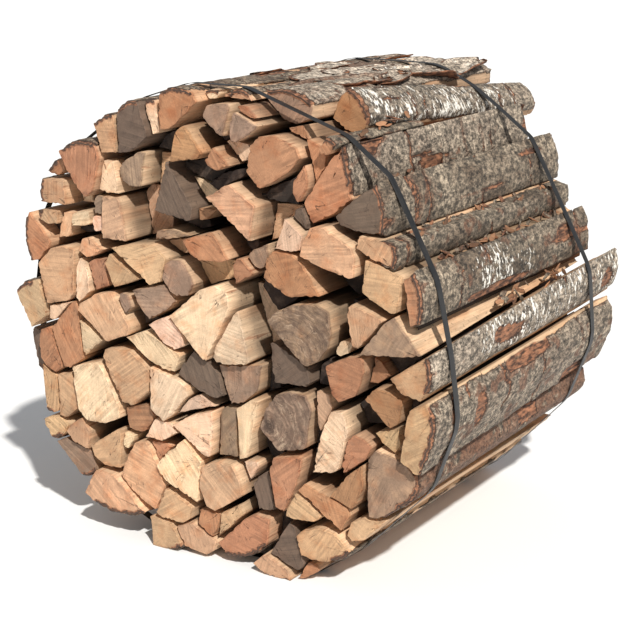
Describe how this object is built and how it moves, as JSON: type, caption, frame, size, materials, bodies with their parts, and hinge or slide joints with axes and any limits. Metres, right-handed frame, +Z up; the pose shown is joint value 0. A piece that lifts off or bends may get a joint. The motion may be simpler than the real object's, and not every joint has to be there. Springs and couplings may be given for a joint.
{
  "type": "birch firewood bundle",
  "caption": "Large round bundle of split birch logs with grey bark, stacked side by side and tied with two flat black straps, lying on its side.",
  "frame": {"origin": "middle of the underside, where the bundle rests on the floor", "axes": "+Z up; the splits lie along Y, with the end that is seen best towards -Y; +X across the bundle"},
  "size_m": [1.3162, 1.2432, 1.2293],
  "materials": {
    "split_wood": "rough split and sawn birch, pale tan to honey",
    "weathered_wood": "grey weathered split wood, dry and matt",
    "barked_wood": "split wood with rough grey birch bark on its round side",
    "strap": "flat black strapping band, slight satin sheen"
  },
  "bodies": {
    "root": {"rim_split_01": "barked_wood", "rim_split_02": "barked_wood", "rim_split_03": "barked_wood", "rim_split_04": "barked_wood", "rim_split_05": "barked_wood", "rim_split_06": "barked_wood", "rim_split_07": "barked_wood", "rim_split_08": "barked_wood", "rim_split_09": "barked_wood", "rim_split_10": "barked_wood", "rim_split_11": "barked_wood", "rim_split_12": "barked_wood", "rim_split_13": "weathered_wood", "rim_split_14": "barked_wood", "rim_split_15": "barked_wood", "rim_split_16": "barked_wood", "rim_split_17": "split_wood", "rim_split_18": "barked_wood", "rim_split_19": "split_wood", "rim_split_20": "split_wood", "rim_split_21": "barked_wood", "rim_split_22": "split_wood", "rim_split_23": "barked_wood", "rim_split_24": "barked_wood", "rim_split_25": "barked_wood", "rim_split_26": "barked_wood", "rim_split_27": "barked_wood", "rim_split_28": "barked_wood", "rim_split_29": "barked_wood", "rim_split_30": "barked_wood", "rim_split_31": "barked_wood", "rim_split_32": "barked_wood", "rim_split_33": "barked_wood", "rim_split_34": "barked_wood", "rim_split_35": "barked_wood", "heart_split_01": "weathered_wood", "heart_split_02": "weathered_wood", "heart_split_03": "split_wood", "heart_split_04": "split_wood", "heart_split_05": "split_wood", "heart_split_06": "split_wood", "heart_split_07": "split_wood", "heart_split_08": "split_wood", "heart_split_09": "split_wood", "heart_split_10": "split_wood", "heart_split_11": "split_wood", "heart_split_12": "weathered_wood", "heart_split_13": "weathered_wood", "heart_split_14": "split_wood", "heart_split_15": "split_wood", "heart_split_16": "split_wood", "heart_split_17": "split_wood", "heart_split_18": "split_wood", "heart_split_19": "split_wood", "heart_split_20": "split_wood", "heart_split_21": "split_wood", "heart_split_22": "split_wood", "inner_stack": "split_wood", "strap_front": "strap", "strap_rear": "strap"}
  },
  "joints": []
}
